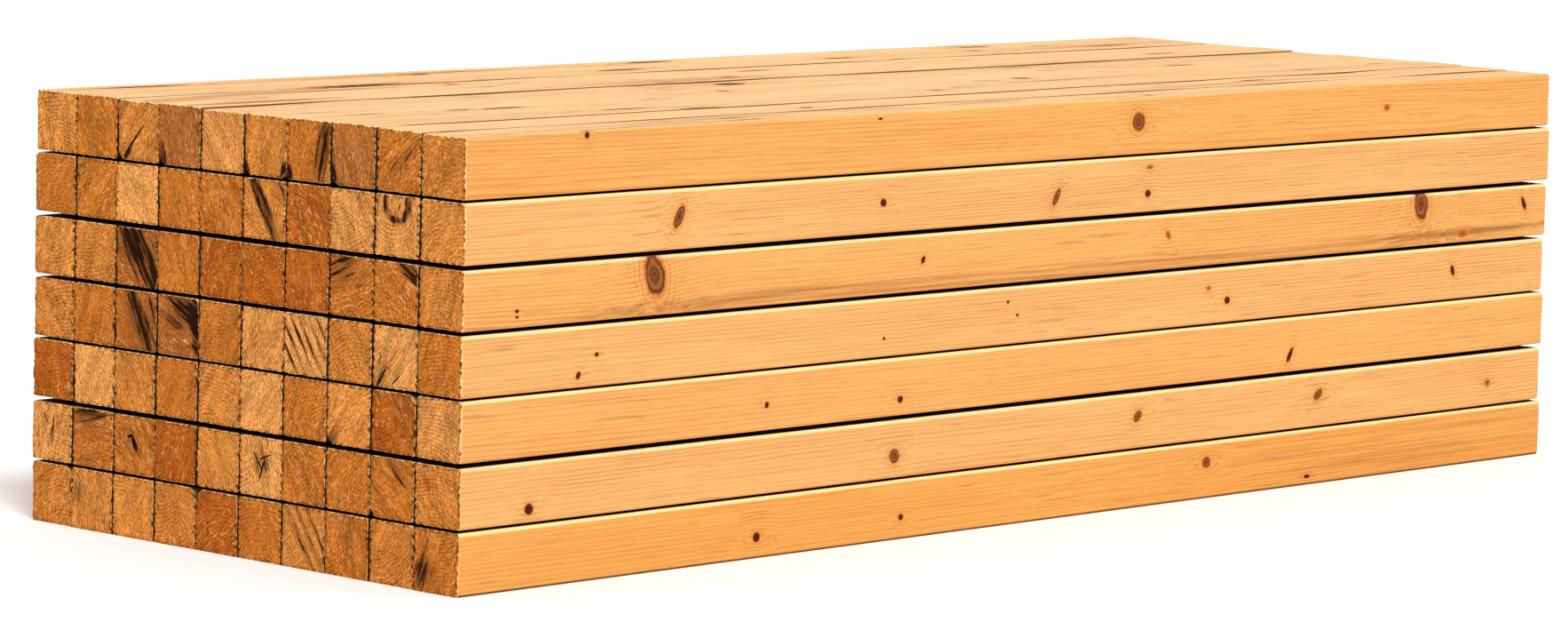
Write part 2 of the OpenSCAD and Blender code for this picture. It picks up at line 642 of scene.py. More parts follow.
        # Tufts of torn fibre with a painted highlight where they catch the light, and painted shade in the
        # pits beside them
        cells = (1 / (2.5 * self.fleck), 1 / self.fleck, 1.0)
        stretch = add("VectorMath", {0: saw, 1: cells}, "MULTIPLY")
        bow = add("TexNoise", {"Vector": saw, "Scale": 1 / self.bow, "Detail": 1.0}, out="Color")
        bow = add("VectorMath", {0: bow, 1: (3.2, 3.2, 0.0), 2: stretch}, "MULTIPLY_ADD")
        fleck = add("TexNoise", {"Vector": bow, "Scale": 1.0, "Detail": 2.5, "Roughness": 0.58})
        where = add("TexNoise", {"Vector": wood, "Scale": 13.0, "Detail": 1.0})
        where = add("MapRange", {"Value": where, 1: 0.36, 2: 0.62, 3: 0.22, 4: 0.62})
        up, down = (
            add("Math", {0: add("MapRange", {"Value": fleck, 1: low, 2: high}), 1: where}, "MULTIPLY")
            for low, high in ((0.58, 0.65), (0.42, 0.35))
        )

        # Dark heart or blue stain in veins along the saw's stroke, in a softer brown patch
        soft = add("MapRange", {"Value": stain, 1: 0.02, 2: 0.9, 3: 0.0, 4: 0.85})
        wets = add("MapRange", {"Value": stain, 1: 0.05, 2: 0.3})
        wet = noise(saw, (15.0, 165.0, 1.0), 3.0, 0.6)
        wet = add("Math", {0: wet, 1: 4.2, 2: -2.1}, "MULTIPLY_ADD")
        for source, weight in ((fleck, 0.9), (stain, 0.95)):
            wet = add("Math", {0: source, 1: weight, 2: wet}, "MULTIPLY_ADD")
        wet = add("MapRange", {"Value": wet, 1: 0.85, 2: 1.35, 3: 0.0, 4: 0.97})
        wet = add("Math", {0: wet, 1: wets}, "MULTIPLY")
        # Pale torn fibre along the sawn rim, brightened by a painted highlight
        rim = add("Math", {0: fleck, 1: torn, 2: -0.18}, "MULTIPLY_ADD")
        rim = add("MapRange", {"Value": rim, 1: 0.1, 2: 0.36, 3: 0.0, 4: 0.95})
        tufts = (up, self.tuft_highlight), (down, self.pit_shade)
        for share, coat in (*tufts, (soft, self.stain_mid), (wet, self.stain_end), (rim, self.cream)):
            sawn = add("Mix", {0: share, 6: sawn, 7: coat}, "RGBA")

        # Knots: an orange halo with faint rings, a thin bark line and a ringed heart; splits are only dark
        halo = add("MapRange", {"Value": rho, 1: 2.4, 2: 1.0, 3: 0.0, 4: 0.5}, "SMOOTHSTEP")
        halo = add("Math", {0: halo, 1: is_knot}, "MULTIPLY")
        turns = add("Math", {0: rho, 1: 11.0}, "MULTIPLY")
        turns = add("Math", {0: turns}, "SINE")
        swirl = add("MapRange", {"Value": rho, 1: 3.4, 2: 1.0, 3: 0.0, 4: 0.4})
        for factor in (turns, uneven, is_knot):
            swirl = add("Math", {0: swirl, 1: factor}, "MULTIPLY")
        swirl = add("Math", {0: 1.0, 1: swirl}, "SUBTRACT")
        mid = add("MapRange", {"Value": kind, 1: 0.1, 2: 0.5})
        deep = add("MapRange", {"Value": kind, 1: 0.5, 2: 1.0})
        ringing = add("MapRange", {"Value": turns, 1: -1.0, 2: 1.0, 3: 0.6, 4: 1.4})
        pith = add("MapRange", {"Value": rho, 1: 0.34, 2: 0.0, 3: 0.0, 4: 0.85})
        heart = add("Mix", {0: mid, 6: self.knot_red, 7: self.knot_brown}, "RGBA")
        heart = add("Mix", {0: deep, 6: heart, 7: self.knot_dark}, "RGBA")
        heart = add("VectorMath", {0: heart, "Scale": ringing}, "SCALE")
        for share, coat in ((pith, self.bark), (is_split, self.split)):
            heart = add("Mix", {0: share, 6: heart, 7: coat}, "RGBA")
        edge = add("MapRange", {"Value": kind, 1: 0.1, 2: 0.6, 3: 0.4, 4: 0.82})
        line = add("Math", {0: rho, 1: -1.0}, "ADD")
        line = add("Math", {0: line}, "ABSOLUTE")
        line = add("MapRange", {"Value": line, 1: 0.22, 2: 0.05})
        for factor in (edge, is_knot):
            line = add("Math", {0: line, 1: factor}, "MULTIPLY")

        # The knots lie over both kinds of surface; inside the joints the wood takes painted shade, and the
        # wane its dark bark
        colour = add("Mix", {0: end, 6: side, 7: sawn}, "RGBA")
        colour = add("Mix", {0: halo, 6: colour, 7: self.halo}, "RGBA")
        colour = add("VectorMath", {0: colour, "Scale": swirl}, "SCALE")
        for share, coat in ((core, heart), (line, self.bark), (shade_and_bark_share, self.shade_and_bark_colour)):
            colour = add("Mix", {0: share, 6: colour, 7: coat}, "RGBA")

        # Relief: fibres and late wood stand up a little on the sides, tufts stand well out of the ends
        side_up, end_up = fibres, fleck
        for source, weight in ((late, 0.25), (slit, -2.0)):
            side_up = add("Math", {0: source, 1: weight, 2: side_up}, "MULTIPLY_ADD")
        for source, weight in ((late, 0.2), (grit, 0.35)):
            end_up = add("Math", {0: source, 1: weight, 2: end_up}, "MULTIPLY_ADD")
        end_up = add("Math", {0: end_up, 1: self.end_relief}, "MULTIPLY")
        height = add("Mix", {0: end, 2: side_up, 3: end_up}, "FLOAT")
        for source, weight in ((core, 0.6), (line, -1.2)):
            height = add("Math", {0: source, 1: weight, 2: height}, "MULTIPLY_ADD")
        bump = add("Bump", {"Height": height, "Strength": 0.9, "Distance": self.relief})
        dull = add("MapRange", {"Value": core, 3: self.roughness, 4: self.knot_roughness})
        dull = add("Math", {0: late, 1: -0.1, 2: dull}, "MULTIPLY_ADD")
        look = {"Base Color": colour, "Roughness": dull, "Normal": bump, "IOR": 1.5}
        surface = add("BsdfPrincipled", look | {"Specular IOR Level": self.specular})
        add("OutputMaterial", {"Surface": surface})
        return material


# -------------------------------------------------------------------------------------- the sticks


@dataclass(frozen=True)
class WearAndShade:
    """How far the saw, the air and the painted shade reach into a stick, and where the painted highlight on
    a lit edge lies.

    Each pair is where an effect begins and where it is full.
    """

    hollow_from_end: tuple[float, float] = (60 * MM, 12 * MM)  # bed gaps open towards an end
    hollow_from_side: tuple[float, float] = (40 * MM, 8 * MM)  # and towards an outer side
    slack_from_end: tuple[float, float] = (120 * MM, 10 * MM)  # side gaps open towards an end
    unevenness: float = 0.25  # of the sawn faces, in mm
    knot_hold: float = 17 * MM  # how far along a knot keeps the gap above it closed
    side_shade_up: tuple[float, float] = (-0.6 * MM, 1.6 * MM)  # painted shade in a side joint, from its top
    side_shade_in: tuple[float, float] = (0.0, 2.2 * MM)  # and from its end
    bed_shade_across: tuple[float, float] = (3 * MM, 8 * MM)  # painted shade in a bed joint, from its side
    bed_shade_in: tuple[float, float] = (0.8 * MM, 4 * MM)  # and from its end
    bark_dark: tuple[float, float] = (2.5 * MM, MM)  # darkness of wane, under the log's outside
    lit_edge: tuple[float, float] = (1 - 6.5 / 44.5, 1 - 2.5 / 44.5)  # painted highlight on the lit top edge, as a share of the half
    sharp: float = 38  # degrees between two faces that keep a hard edge


WEAR_AND_SHADE = WearAndShade()


@dataclass
class Stick:
    """One sawn stick, with its place in the stack, its own grain and its own marks."""

    plan: StackPlan
    layer: int
    column: int
    tone: EndTone
    side: SideTone
    marks: list[Mark] = field(default_factory=list)
    stains: list[Stain] = field(default_factory=list)
    pith: tuple[float, float] | None = None

    @property
    def name(self) -> str:
        """Return the piece's name."""
        return f"stick_{self.layer}_{self.column:02d}"

    @property
    def outer(self) -> bool:
        """Return True if one of the stick's long sides shows, at the front, at the back or on top."""
        return self.column in (1, self.plan.columns) or self.layer == self.plan.layers

    def bared(self, x: np.ndarray, y: np.ndarray) -> np.ndarray:
        """Work out how near the outside of the stack points are: 1 at an end or an outer side, 0 inside.

        Args:
            x: Distance from the nearer end.
            y: Distance across, from the stick's middle.

        Returns:
            The larger of two smooth falls, one along from an end and one in from an outer side.
        """
        half = self.plan.stick / 2
        share = smooth(x, *WEAR_AND_SHADE.hollow_from_end)
        if self.column == 1:
            share = np.maximum(share, smooth(y + half, *WEAR_AND_SHADE.hollow_from_side))
        if self.column == self.plan.columns:
            share = np.maximum(share, smooth(half - y, *WEAR_AND_SHADE.hollow_from_side))
        return share

    def shape(self, grain: Grain, seed: int) -> tuple[np.ndarray, ...]:
        """Work out where the stick's points are.

        The section is carried along the stick. Near the outside of the stack its top and bottom lie back
        by half of the gap that shows there, and the sides by a smaller share; the border of each sawn end
        is torn back unevenly; and the end itself is sawn a little askew and rough. Nothing goes past the
        sawn prism.

        Args:
            grain: The points' layout.
            seed: The stick's own unevenness.

        Returns:
            X from the near end's place, Y and Z from the middle line, how torn each point is, and its
            distances along the saw's stroke and across it.
        """
        plan, chance = self.plan, np.random.default_rng(seed)
        x0, x1 = plan.ends(self.layer, self.column)
        length = x1 - x0
        section = Section(waned=tuple(plan.waned(self.layer, self.column)))
        y, z = section.place(grain.a, grain.b)
        x = grain.w * length + grain.off
        inner = np.minimum(x, length - x)
        points = np.stack([x, y, z], axis=1)

        # Hollow borders and slow unevenness, always inwards
        bare = self.bared(inner, y)
        wave = 0.5 + 0.5 * ripple(points[:, :1], 0.5, seed + 1)
        above = plan.open_above[self.layer - 1] / 2
        below = plan.open_above[self.layer - 2] / 2 if self.layer > 1 else 0.0
        lift = np.ones_like(x)
        for mark in self.marks:
            if mark.face is Face.FRONT and mark.up + mark.short_radius > 40 and mark.long_radius > 12:
                lift -= 0.85 * np.exp(-(((x - mark.along * MM) / WEAR_AND_SHADE.knot_hold) ** 2)) * (y < 0)
        top = MM * (bare * above * lift * chance.uniform(0.85, 1.1) + WEAR_AND_SHADE.unevenness * wave)
        bottom = MM * (bare * below * chance.uniform(0.85, 1.1) + WEAR_AND_SHADE.unevenness * (1 - wave))
        if self.layer == 1:
            bottom = bottom * 0
        if self.layer == plan.layers:
            top = top + plan.shrunk[self.column - 1] * MM * (0.75 + 0.5 * (wave - 0.5))
        slack = chance.uniform(0.3, 0.95, 2) * MM
        left, right = (
            inset * (1 + 0.8 * ripple(points[:, 2:], 60 * MM, seed + 31 + i))
            for i, inset in enumerate(slack)
        )
        ended = smooth(inner, *WEAR_AND_SHADE.slack_from_end)
        half = plan.stick / 2
        z = z * (1 - np.where(z > 0, top, bottom) / half)
        y = y * (1 - np.where(y > 0, left, right) * ended / half)

        # The torn border: a jagged inset that dies away over the first rings
        torn = np.select([grain.row == 0, grain.row == 1, grain.row == 2], [1.0, 0.45, 0.12], 0.0)
        body = grain.cap == 0
        teeth = smooth(self.pits(y, z), 0.42, 0.7)
        jag = np.clip(0.45 * chance.uniform(0, 1, len(x)) ** 1.4 + 0.95 * teeth, 0, 1.3)
        jag = np.where(np.abs(y) > np.abs(z), jag, jag * (1.3 if self.layer == plan.layers else 0.8))
        corner = (y < 3 * MM - half) & (self.column == 1)
        jag = np.where(corner, 0.35 * jag + 1.15 * ((z / (6.5 * MM) + seed * 0.37) % 1.0), jag)
        inset = torn * jag * np.where(body, 1.3, 1.9) * MM
        shrink = 1 - inset / np.maximum(np.maximum(np.abs(y), np.abs(z)), 10 * MM)
        y, z = y * shrink, z * shrink

        # The sawn end: a little askew, rippled by the saw, with tufts along its stroke
        saw = math.radians(self.lean(seed))
        along, over = y * math.cos(saw) + z * math.sin(saw), z * math.cos(saw) - y * math.sin(saw)
        askew = chance.uniform(-1, 1, 2) * 0.9 * MM / half
        for sign in (-1, 1):
            cap = grain.cap == sign
            flat = np.stack([along[cap] * 0.25, over[cap]], axis=1)
            plane = y[cap] * askew[0] + z[cap] * askew[1] * sign
            back = plane - plane.min()
            for depth, width, key in ((0.45, 11, 3), (0.3, 5.5, 7)):
                back += MM * (depth + depth * ripple(flat, width * MM, seed + key + sign))
            back += MM * 0.45 * chance.uniform(0, 1, cap.sum())
            back += MM * torn[cap] * 1.6 * chance.uniform(0, 1, cap.sum()) ** 2
            back -= back.min()
            x[cap] -= sign * back
        fine = body & (grain.row > 0) & (grain.row < 4)
        x[fine] += np.where(grain.w[fine] < 0.5, 1, -1) * 0.9 * MM
        return x, y, z, torn, along, over

    def lean(self, seed: int) -> float:
        """Return the way that the saw ran over the end, in degrees from level: along any long stain."""
        ends = [stain for stain in self.stains if stain.face is Face.NEAR_END]
        long = [stain for stain in ends if stain.long_radius > 1.5 * stain.short_radius]
        if long:
            return -long[0].lean
        chance = np.random.default_rng(seed + 50)
        return float(chance.uniform(48, 80) * chance.choice((-1, 1)))

    def side_of(self, grain: Grain, y: np.ndarray, z: np.ndarray, faces: np.ndarray) -> np.ndarray:
        """Say which side of the stick each face is on.

        Args:
            grain: The faces' layout.
            y: Distance across of each point.
            z: Distance up of each point.
            faces: Point numbers of each face, four columns.

        Returns:
            The number of a Face for each face.
        """
        cy, cz = y[faces].mean(axis=1), z[faces].mean(axis=1)
        side = np.where(
            np.abs(cy) > np.abs(cz),
            np.where(cy < 0, Face.FRONT.value, Face.BACK.value),
            np.where(cz > 0, Face.TOP.value, Face.BOTTOM.value),
        )
        ends = [grain.group == 0, grain.group == 2]
        return np.select(ends, [Face.NEAR_END.value, Face.FAR_END.value], side)

    def joint(self, grain: Grain, x: np.ndarray, y: np.ndarray, z: np.ndarray) -> np.ndarray:
        """Work out each point's painted shade, from 0 to nearly 1, by how deep inside a joint between two
        sticks it lies.

        A side joint opens at the ends, and above the top layer and under the lowest. A bed joint opens at
        the ends and on the stack's two long sides. Each takes painted shade within a few millimetres of
        where it opens. The log's own outside, where it shows as wane, is dark as well; pits in the rim and
        the underside of the lowest layer take painted shade.

        Args:
            grain: The points' layout.
            x: Distance from the near end.
            y: Distance across from the middle line.
            z: Distance up from the middle line.

        Returns:
            One number for each point.
        """
        plan, half = self.plan, self.plan.stick / 2
        section = Section(waned=tuple(plan.waned(self.layer, self.column)))
        x0, x1 = plan.ends(self.layer, self.column)
        inner = np.where(grain.cap == 0, np.minimum(x, x1 - x0 - x), 0.0)
        far, none = np.ones_like(x), np.zeros(len(x), bool)
        up = half - z if self.layer == plan.layers else far
        down = z + half if self.layer == 1 else far
        left = y + half if self.column == 1 else far
        right = half - y if self.column == plan.columns else far
        sided = (y > half - 2 * MM) if self.column < plan.columns else none
        sided = sided | ((y < 2 * MM - half) if self.column > 1 else none)
        bedded = (z > half - 4 * MM) if self.layer < plan.layers else none
        bedded = bedded | ((z < 4 * MM - half) if self.layer > 1 else none)
        # Painted shade in the side and bed joints, fading in from where each opens, a little weaker in the
        # top seams
        in_side = smooth(np.minimum(up, down), *WEAR_AND_SHADE.side_shade_up) * smooth(inner, *WEAR_AND_SHADE.side_shade_in)
        in_side = in_side * np.where(up < 5 * MM, 0.88, 1.0)
        in_bed = smooth(np.minimum(left, right), *WEAR_AND_SHADE.bed_shade_across) * smooth(inner, *WEAR_AND_SHADE.bed_shade_in)
        bark_and_floor_shade = np.zeros_like(x)
        for sy, sz in section.waned:
            reach = section.log_r - np.hypot(y * sy + section.pith_off, z * sz + section.pith_off)
            bark_and_floor_shade = np.maximum(bark_and_floor_shade, 0.8 * smooth(reach, *WEAR_AND_SHADE.bark_dark))
        bark_and_floor_shade *= grain.cap == 0
        # Painted shade under the lowest layer, where it rests on the floor
        if self.layer == 1:
            bark_and_floor_shade = np.maximum(bark_and_floor_shade, 0.75 * (z < 3 * MM - half) * (grain.row > 1))
        # Painted shade in the torn-out pits of the sawn rim, where no light reaches
        lost = self.pits(y, z)
        deep = smooth(lost, 0.52, 0.7) * np.select([grain.row < 2, grain.row == 2], [1.0, 0.3], 0.0)
        deep *= (grain.cap != 0) * np.where(np.abs(y) > np.abs(z), 0.86, 0.66)
        return 0.97 * np.maximum.reduce([sided * in_side, bedded * in_bed, bark_and_floor_shade, deep])

    def pits(self, y: np.ndarray, z: np.ndarray) -> np.ndarray:
        """Say how torn the sawn rim is round the section, from 0 to 1: waves a few millimetres long."""
        seed = 5000 + 100 * self.layer + self.column
        return 0.5 + 0.5 * ripple(np.stack([y, z], axis=1), 8 * MM, seed, 6)

    @staticmethod
    def on_face(face: Face, x: np.ndarray, y: np.ndarray, z: np.ndarray) -> tuple[np.ndarray, ...]:
        """Return the distances along and up a face: X with Z or Y on a long side, Y with Z on an end."""
        if face is Face.NEAR_END:
            return -y, z
        if face is Face.FAR_END:
            return y, z
        return (x, y) if face in (Face.TOP, Face.BOTTOM) else (x, z)

    def build(self, grain: Grain, finish: bpy.types.Material) -> bpy.types.Object:
        """Make the stick's mesh, with what its finish reads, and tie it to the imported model.

        Args:
            grain: The layout of its points and faces.
            finish: Its material.

        Returns:
            The stick.
        """
        seed = 100 * self.layer + self.column
        chance = np.random.default_rng(seed + 9)
        x, y, z, torn, along, over = self.shape(grain, seed)
        quads, triangles = grain.quads, grain.triangles
        loops = np.concatenate([quads.ravel(), triangles.ravel()])
        totals = np.concatenate([np.full(len(quads), 4), np.full(len(triangles), 3)])
        padded = np.concatenate([quads, triangles[:, [0, 1, 2, 2]]])
        which = self.side_of(grain, y, z, padded)

        x0, _ = self.plan.ends(self.layer, self.column)
        my, mz = self.plan.middle(self.layer, self.column)
        mesh = bpy.data.meshes.new(self.name)
        mesh.vertices.add(len(x))
        points = np.stack([x + x0, y + my, z + mz], axis=1)
        mesh.vertices.foreach_set("co", points.astype(np.float32).ravel())
        mesh.loops.add(len(loops))
        mesh.loops.foreach_set("vertex_index", loops.astype(np.int32))
        mesh.polygons.add(len(totals))
        starts = np.concatenate([[0], np.cumsum(totals)[:-1]])
        mesh.polygons.foreach_set("loop_start", starts.astype(np.int32))
        mesh.update(calc_edges=True)
        mesh.polygons.foreach_set("use_smooth", np.ones(len(totals), bool))
        mesh.set_sharp_from_angle(angle=math.radians(WEAR_AND_SHADE.sharp))

        self.paint(mesh, grain, chance, (x, y, z), (torn, along, over), (loops, totals, padded, which))
        stick = bpy.data.objects.new(self.name, mesh)
        bpy.context.scene.collection.objects.link(stick)
        mesh.materials.append(finish)
        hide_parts(self.plan.node(self.layer))
        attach(stick, "root")
        return stick

    def paint(
        self,
        mesh: bpy.types.Mesh,
        grain: Grain,
        chance: np.random.Generator,
        place: tuple[np.ndarray, ...],
        end: tuple[np.ndarray, ...],
        faces: tuple[np.ndarray, ...],
    ) -> None:
        """Write what the finish reads into the mesh.

        Args:
            mesh: The stick's mesh.
            grain: The layout of its points.
            chance: Where its own differences come from.
            place: X, Y and Z of each point, from the near end's place and the middle line.
            end: How torn each point is, and its distances along and across the saw's stroke.
            faces: Corner points, corners per face, four points per face, and the side each face is on.
        """
        x, y, z = place
        torn, along, over = end
        loops, totals, padded, which = faces

        def write(name: str, kind: str, domain: str, key: str, values: np.ndarray) -> None:
            """Add one attribute to the mesh."""
            made = mesh.attributes.new(name, kind, domain)
            made.data.foreach_set(key, values.astype(np.float32).ravel())

        # The place in the log: from its pith, which leans a little along the stick
        angle, away = chance.uniform(0, 2 * math.pi), chance.uniform(45, 120) * MM
        if self.outer:
            turned = 1 if self.column in (1, self.plan.columns) else 0
            angle = math.pi * (0.5 * turned + chance.integers(0, 2)) + chance.uniform(-0.5, 0.5)
        py, pz = self.pith or (away * math.cos(angle), away * math.sin(angle))
        tilt = chance.uniform(-9, 9, 2) * MM / self.plan.length
        start = chance.uniform(0, 40)
        wood = np.stack([x + start, y - py - x * tilt[0], z - pz - x * tilt[1]], axis=1)
        write("log_place", "FLOAT_VECTOR", "POINT", "vector", wood)
        apart = chance.uniform(0, 90) + 7 * np.sign(grain.cap)  # no two ends show the same pattern
        stroke = np.stack([along, over, apart], axis=1)
        write("saw_place", "FLOAT_VECTOR", "POINT", "vector", stroke)

        is_end = which <= Face.FAR_END.value
        body_colour = np.array(linear(self.side.value))
        is_top = self.layer == self.plan.layers
        # The top layer's top faces are painted paler, as painted light from above
        lit_top_colour = np.array(linear(SideTone.LIT_TOP.value)) if is_top else body_colour
        tones = (self.tone, list(EndTone)[chance.integers(0, 5)])
        near, far = (np.array(linear(tone.value[1])) for tone in tones)
        tints = np.select(
            [(which == f)[:, None] for f in (Face.NEAR_END.value, Face.FAR_END.value, Face.TOP.value)],
            [near, far, lit_top_colour * chance.uniform(0.95, 1.03)],
            body_colour,
        )
        write("tint", "FLOAT_COLOR", "FACE", "color", tints)
        write("end_grain", "FLOAT", "FACE", "value", is_end)
        bare = (which == Face.TOP.value) * (1.0 if is_top else 0.1)
        write("weather", "FLOAT", "FACE", "value", np.where(is_end, 0.0, np.maximum(bare, 0.25)))

        # Pale torn fibre on the end's rim with a painted highlight, strongest on its top, and a painted
        # highlight on the top edge of a long side
        sideways, on_body = np.abs(y) > np.abs(z), grain.cap == 0
        at_left = 0.95 if self.column == 1 else 0.8
        rim_highlight = np.where(z > np.abs(y) * 0.98, 1.0, np.where((y < 0) & sideways, at_left, 0.45))
        rim_highlight *= np.where(on_body, 1.0, smooth(self.pits(y, z), 0.56, 0.4))
        rim_highlight *= np.where(on_body & sideways & (self.column > 1), 0.15, 1.0)
        # A painted highlight along the lit top edge of each long side
        edge_highlight = smooth(grain.b, *WEAR_AND_SHADE.lit_edge) * (grain.row > 1)
        edge_highlight *= np.abs(y) > self.plan.stick / 2 - 5 * MM
        edge_highlight *= 0.3 if self.column > 1 or is_top else 1.0
        write("torn_rim_and_highlight", "FLOAT", "POINT", "value", np.maximum(torn * rim_highlight, edge_highlight))
        # Painted shade in the joints, the rim's pits and under the lowest layer, with the wane's dark bark
        write("joint", "FLOAT", "POINT", "value", self.joint(grain, x, y, z))

        soaked = np.zeros_like(x)
        for stain in self.stains:
            s, t = self.on_face(stain.face, x, y, z)
            on = {
                Face.NEAR_END: grain.cap < 0,
                Face.FAR_END: grain.cap > 0,
                Face.FRONT: (y < -30 * MM) & (grain.cap == 0),
                Face.BACK: (y > 30 * MM) & (grain.cap == 0),
                Face.TOP: (z > 30 * MM) & (grain.cap == 0),
                Face.BOTTOM: (z < -30 * MM) & (grain.cap == 0),
            }[stain.face]
            soaked += np.where(on, stain.amount(s, t), 0.0)
        write("stain", "FLOAT", "POINT", "value", soaked)

        # Each face reads the knot nearest to it, in that knot's own axes
        corner = np.full((len(loops), 3), 60.0)
        corner[:, 2] = 0.0
        radius = np.zeros(len(totals))
        owner = np.repeat(np.arange(len(totals)), totals)
        nearest = np.full(len(totals), 12.0)
        cx, cy, cz = (v[padded].mean(axis=1) for v in place)
        for mark in self.marks:
            s, t = mark.coordinates(*self.on_face(mark.face, cx, cy, cz)).T
            reach = np.hypot(s, t)
            on = (which == mark.face.value) & (reach < nearest)
            if mark.face is Face.FRONT and mark.up + mark.short_radius > 38:
                on |= (which == Face.TOP.value) & (cy < -38 * MM) & (reach < nearest)
            nearest[on] = reach[on]
            mine = on[owner]
            at = loops[mine]
            corner[mine, :2] = mark.coordinates(*self.on_face(mark.face, x[at], y[at], z[at]))
            corner[mine, 2] = mark.kind.value
            radius[on] = mark.short_radius * MM
        write("knot_place", "FLOAT_VECTOR", "CORNER", "vector", corner)
        write("knot_radius", "FLOAT", "FACE", "value", radius)


@dataclass
class Stack:
    """The whole stack: which stick has which tone, knots and stains."""

    plan: StackPlan = field(default_factory=StackPlan)
    # The near ends' tones, from the top layer down and from the far column to the near one
    tones: tuple[str, ...] = (
        "GBMKLMBKBM",
        "BBPBBMRLLG",
        "GMDBRRRBBM",
        "MBDDBLPMPB",
        "RPMBGPBGRL",
        "LBBRGPBBBM",
        "MGGMRBGBMB",
    )
    # The long sides' tones, from the top layer down
    sides: tuple[SideTone, ...] = (
        SideTone.HONEY, SideTone.PALE, SideTone.MIDDLE, SideTone.PALE,
        SideTone.MIDDLE, SideTone.PALE, SideTone.ORANGE,
    )  # fmt: skip

    def front_marks(self) -> dict[int, list[Mark]]:
        """Return the knots on the near long side, by layer, at their places along each stick."""
        red, brown, dark = MarkKind.TIGHT_KNOT, MarkKind.BROWN_KNOT, MarkKind.DARK_KNOT

        def on(
            kind: MarkKind, along: float, up: float, long_r: float, short_r: float, lean: float = 0
        ) -> Mark:
            """Put one mark on the near long side."""
            return Mark(Face.FRONT, kind, along, up, long_r, short_r, lean)

        return {
            7: [on(dark, 228, 36, 4, 4), on(brown, 1395, 6, 12, 12), on(red, 2000, 4, 6, 4),
                on(dark, 820, 34, 4, 1.5)],
            6: [on(brown, 410, 4, 15, 7, 62), on(dark, 391, -13, 3, 3), on(dark, 830, 2, 5.5, 5),
                on(brown, 1211, -8, 12, 5, 58), on(dark, 1421, -14, 6, 5), on(red, 1424, 26, 6, 3)],
            5: [on(brown, 365, 16, 27, 16, 105), on(brown, 2098, 25, 21, 15, 96),
                on(dark, 920, 4, 5, 3.5, 60),
                on(red, 1473, 10, 6, 4, -50), on(dark, 2370, 12, 11, 4, -60), on(red, 2209, -28, 9, 5),
                on(dark, 101, -19, 3, 2.2), on(dark, 101, -27, 2.4, 2)],
            4: [on(dark, 221, -26, 5, 3.5, 60), on(dark, 256, 1, 3.2, 2.6), on(dark, 1620, -9, 6, 5),
                on(red, 1574, 12, 4, 3), on(dark, 2187, 3, 8, 4, 110), on(dark, 1110, 20, 2.4, 2),
                on(dark, 1132, -1, 2.2, 2), on(dark, 841, -16, 2.4, 2)],
            3: [on(dark, 597, -5, 4, 3.4, 60), on(dark, 878, -18, 5, 4.5), on(dark, 1777, -15, 11, 4, 60)],
            2: [on(dark, 131, -24, 7, 7), on(brown, 869, -10, 9, 9), on(brown, 1415, 6, 9, 6, 40),
                on(brown, 1852, 7, 10, 6, 30), on(red, 2290, -6, 6, 5)],
            1: [on(dark, 584, -14, 6.5, 6.5), on(dark, 888, -12, 4.5, 4), on(brown, 1583, 11, 8, 7),
                on(dark, 1831, -31, 6, 2.5)],
        }  # fmt: skip

    def top_marks(self) -> dict[int, list[Mark | Stain]]:
        """Return the knots and opened grain on top of the stack, by column from the near long side."""
        red, brown, dark = MarkKind.TIGHT_KNOT, MarkKind.BROWN_KNOT, MarkKind.DARK_KNOT

        def on(kind: MarkKind, along: float, up: float, long_r: float, short_r: float) -> Mark:
            """Put one mark on top."""
            return Mark(Face.TOP, kind, along, up, long_r, short_r)

        return {
            1: [on(dark, 560, 5, 26, 2.5), on(red, 1460, -10, 8, 6)],
            2: [on(dark, 790, -15, 11, 5), on(dark, 1830, 5, 26, 4)],
            3: [on(dark, 520, -5, 40, 4), on(red, 1200, 10, 9, 7), on(dark, 2080, 12, 22, 3)],
            4: [on(dark, 379, 8, 34, 6), on(dark, 300, 14, 24, 4), on(brown, 1515, 30, 14, 9)],
            5: [on(red, 900, -10, 9, 7), on(dark, 1980, 6, 30, 4)],
            6: [on(dark, 1024, 5, 26, 12), on(dark, 1700, 20, 30, 3)],
            7: [on(dark, 2150, 10, 35, 4), on(red, 1100, -12, 10, 8),
                Stain(Face.TOP, 130, -16, 190, 16, 0, 0.75), Stain(Face.TOP, 900, -30, 420, 12, 0, 0.5)],
            8: [on(red, 620, 12, 10, 7), on(dark, 1250, -10, 30, 4),
                Stain(Face.TOP, 320, 16, 260, 14, 0, 0.6)],
            9: [on(dark, 460, -37, 90, 5), on(dark, 1050, -5, 40, 7), on(dark, 1563, 10, 28, 6),
                on(dark, 2216, 0, 44, 5), on(red, 1900, 20, 10, 6)],
            10: [on(dark, 170, 5, 75, 6), on(dark, 1208, 8, 44, 8), on(dark, 1970, 0, 32, 5),
                 on(brown, 700, -10, 14, 8), Stain(Face.TOP, 700, 0, 420, 18, 0, 0.55)],
        }  # fmt: skip

    def end_marks(self) -> dict[tuple[int, int], list[Mark | Stain]]:
        """Return the cracks, knots and stains on the near ends, by layer and column."""

        def crack(right: float, up: float, length: float, width: float, lean: float) -> Mark:
            """Put a crack on the near end."""
            return Mark(Face.NEAR_END, MarkKind.SPLIT, right, up, length / 2, width / 2, lean)

        def dark(
            right: float, up: float, long_r: float, short_r: float, lean: float, depth: float
        ) -> Stain:
            """Put a dark patch on the near end."""
            return Stain(Face.NEAR_END, right, up, long_r, short_r, lean, depth)

